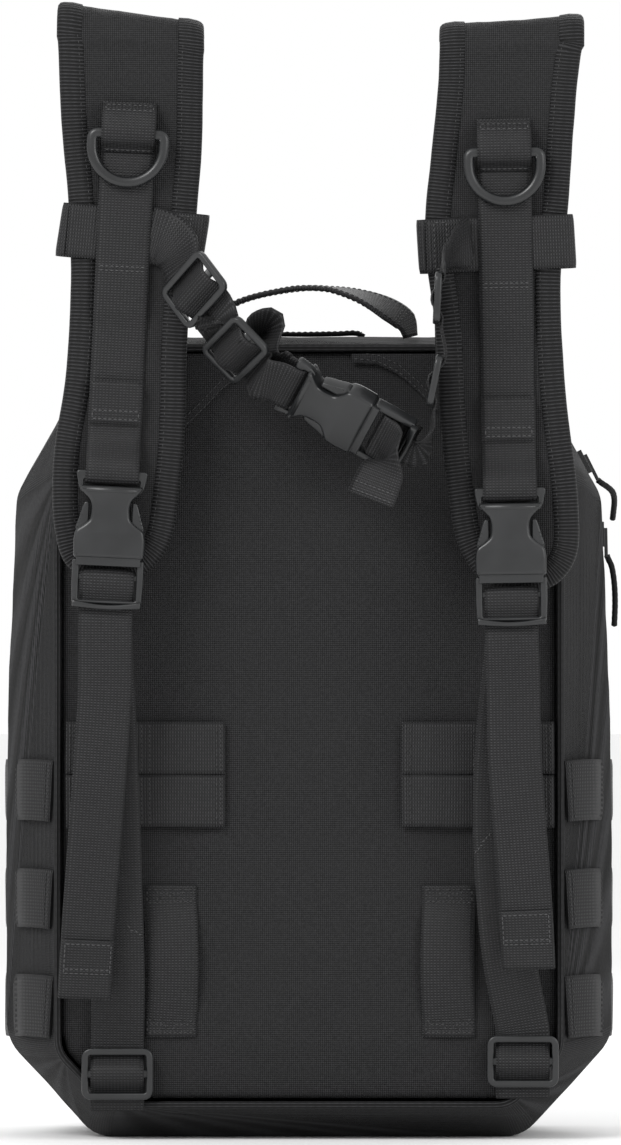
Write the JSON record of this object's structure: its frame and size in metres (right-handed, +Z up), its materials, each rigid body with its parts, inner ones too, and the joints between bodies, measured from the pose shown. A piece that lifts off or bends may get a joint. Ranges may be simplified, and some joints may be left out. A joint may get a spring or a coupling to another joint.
{
  "type": "trauma backpack",
  "caption": "Black padded backpack with raised shoulder straps, sternum strap, side release buckles, webbing fields, clamshell opening and a zipped front pocket.",
  "frame": {"origin": "centre of the flat base, under the rear shell", "axes": "-Y out of the padded harness side, +Y out of the front pocket, +Z up"},
  "size_m": [0.2962, 0.2309, 0.54],
  "materials": {
    "cordura": "black coated nylon canvas weave",
    "binding": "ribbed edge binding",
    "webbing": "ribbed nylon webbing",
    "acetal": "moulded, semi-gloss",
    "zip": "coil zip on woven tape",
    "slider": "black enamel",
    "cord": "braided",
    "lining": "light pack cloth",
    "frame_sheet": "matte",
    "loop_field": "soft loop pile"
  },
  "bodies": {
    "pack": {"back_panel": "cordura", "frame_sheet": "frame_sheet", "rear_gusset_left": "cordura", "rear_gusset_right": "cordura", "rear_gusset_top": "cordura", "rear_gusset_bottom": "cordura", "panel_piping": "binding", "rear_zip_tape": "zip", "back_molle": "webbing", "belt_loops": "webbing", "side_molle": "webbing", "yokes": "cordura", "port_flap": "cordura", "hydration_sleeve": "lining", "elastic_loops": "lining", "shoulder_pad_left": "cordura", "shoulder_pad_right": "cordura", "strap_webbing_left": "webbing", "strap_webbing_right": "webbing", "buckle_female_left": "acetal", "buckle_female_right": "acetal", "lower_strap_left": "webbing", "lower_strap_right": "webbing", "lower_triglides": "acetal"},
    "sternum_strap": {"sternum_loop_left": "webbing", "sternum_loop_right": "webbing", "sternum_web_left": "webbing", "sternum_web_right": "webbing", "sternum_triglides": "acetal", "sternum_female": "acetal"},
    "sternum_plug": {"sternum_male": "acetal", "sternum_tail": "webbing"},
    "sternum_arm_upper": {"sternum_arm_upper": "acetal"},
    "sternum_arm_lower": {"sternum_arm_lower": "acetal"},
    "buckle_plug_left": {"buckle_male_left": "acetal", "strap_tail_left": "webbing"},
    "buckle_plug_right": {"buckle_male_right": "acetal", "strap_tail_right": "webbing"},
    "arm_left_inner": {"arm_left_inner": "acetal"},
    "arm_left_outer": {"arm_left_outer": "acetal"},
    "arm_right_inner": {"arm_right_inner": "acetal"},
    "arm_right_outer": {"arm_right_outer": "acetal"},
    "d_ring_left": {"d_ring_left": "acetal"},
    "d_ring_right": {"d_ring_right": "acetal"},
    "carry_handle": {"carry_handle": "webbing"},
    "lid": {"lid_gusset": "cordura", "lid_panel": "cordura", "lid_zip_tape": "zip", "mesh_pocket": "lining", "pocket_zip_lid": "zip"},
    "pocket_flap": {"flap_gusset": "cordura", "flap_panel": "cordura", "pocket_zip_flap": "zip", "front_molle": "webbing", "patch_field": "loop_field"},
    "slider_upper": {"zip_slider_upper": "slider", "pull_cord_upper": "cord"},
    "slider_lower": {"zip_slider_lower": "slider", "pull_cord_lower": "cord"},
    "pocket_slider": {"pocket_slider": "slider"}
  },
  "joints": [
    {"name": "lid_opening", "type": "hinge", "parent": "pack", "child": "lid", "pos_m": [0, 0.021, 0.001], "axis": [-1, 0, 0], "range_deg": [0, 100]},
    {"name": "pocket_opening", "type": "hinge", "parent": "lid", "child": "pocket_flap", "pos_m": [0, 0.062, 0.012], "axis": [-1, 0, 0], "range_deg": [0, 95]},
    {"name": "handle_tilt", "type": "hinge", "parent": "pack", "child": "carry_handle", "pos_m": [0, -0.036, 0.3816], "axis": [1, 0, 0], "range_deg": [-40, 40]},
    {"name": "d_ring_left_swing", "type": "hinge", "parent": "pack", "child": "d_ring_left", "pos_m": [-0.08523, -0.091, 0.47678], "axis": [-0.9989, 0, 0.0471], "range_deg": [0, 100]},
    {"name": "buckle_left_release", "type": "slide", "parent": "pack", "child": "buckle_plug_left", "axis": [-0.0471, 0, -0.9989], "range_m": [0, 0.028], "deforming": ["lower_strap_left"]},
    {"name": "arm_left_inner_squeeze", "type": "hinge", "parent": "buckle_plug_left", "child": "arm_left_inner", "pos_m": [-0.08367, -0.0925, 0.27628], "axis": [0, -1, 0], "range_deg": [0, 6], "stiffness_Nm_per_rad": 0.2},
    {"name": "arm_left_outer_squeeze", "type": "hinge", "parent": "buckle_plug_left", "child": "arm_left_outer", "pos_m": [-0.10565, -0.0925, 0.27732], "axis": [0, 1, 0], "range_deg": [0, 6], "stiffness_Nm_per_rad": 0.2},
    {"name": "d_ring_right_swing", "type": "hinge", "parent": "pack", "child": "d_ring_right", "pos_m": [0.09226, -0.091, 0.46797], "axis": [-0.9999, 0, -0.0157], "range_deg": [0, 100]},
    {"name": "buckle_right_release", "type": "slide", "parent": "pack", "child": "buckle_plug_right", "axis": [0.0157, 0, -0.9999], "range_m": [0, 0.028], "deforming": ["lower_strap_right"]},
    {"name": "arm_right_inner_squeeze", "type": "hinge", "parent": "buckle_plug_right", "child": "arm_right_inner", "pos_m": [0.08439, -0.0925, 0.26863], "axis": [0, 1, 0], "range_deg": [0, 6], "stiffness_Nm_per_rad": 0.2},
    {"name": "arm_right_outer_squeeze", "type": "hinge", "parent": "buckle_plug_right", "child": "arm_right_outer", "pos_m": [0.10639, -0.0925, 0.26897], "axis": [0, -1, 0], "range_deg": [0, 6], "stiffness_Nm_per_rad": 0.2},
    {"name": "sternum_height", "type": "slide", "parent": "pack", "child": "sternum_strap", "axis": [0, 0, 1], "range_m": [-0.012, 0.012]},
    {"name": "sternum_release", "type": "slide", "parent": "sternum_strap", "child": "sternum_plug", "axis": [0.8788, 0, -0.4772], "range_m": [0, 0.028], "deforming": ["sternum_web_right"]},
    {"name": "sternum_upper_squeeze", "type": "hinge", "parent": "sternum_plug", "child": "sternum_arm_upper", "pos_m": [0.02932, -0.10957, 0.34709], "axis": [-0.3067, -0.766, -0.5649], "range_deg": [0, 6], "stiffness_Nm_per_rad": 0.2},
    {"name": "sternum_lower_squeeze", "type": "hinge", "parent": "sternum_plug", "child": "sternum_arm_lower", "pos_m": [0.02128, -0.09543, 0.33228], "axis": [0.3067, 0.766, 0.5649], "range_deg": [0, 6], "stiffness_Nm_per_rad": 0.2},
    {"name": "zip_lower_travel", "type": "slide", "parent": "pack", "child": "slider_lower", "axis": [0.0231, 0, -0.9997], "range_m": [0, 0.215]},
    {"name": "zip_upper_travel", "type": "slide", "parent": "pack", "child": "slider_upper", "axis": [-0.4472, 0, 0.8944], "range_m": [0, 0.035]},
    {"name": "pocket_zip_travel", "type": "slide", "parent": "lid", "child": "pocket_slider", "axis": [-1, 0, 0], "range_m": [0, 0.16]}
  ],
  "couplings": [
    {"joint": "arm_left_outer_squeeze", "follows": "arm_left_inner_squeeze", "ratio": 1},
    {"joint": "arm_right_outer_squeeze", "follows": "arm_right_inner_squeeze", "ratio": 1},
    {"joint": "sternum_lower_squeeze", "follows": "sternum_upper_squeeze", "ratio": 1}
  ]
}
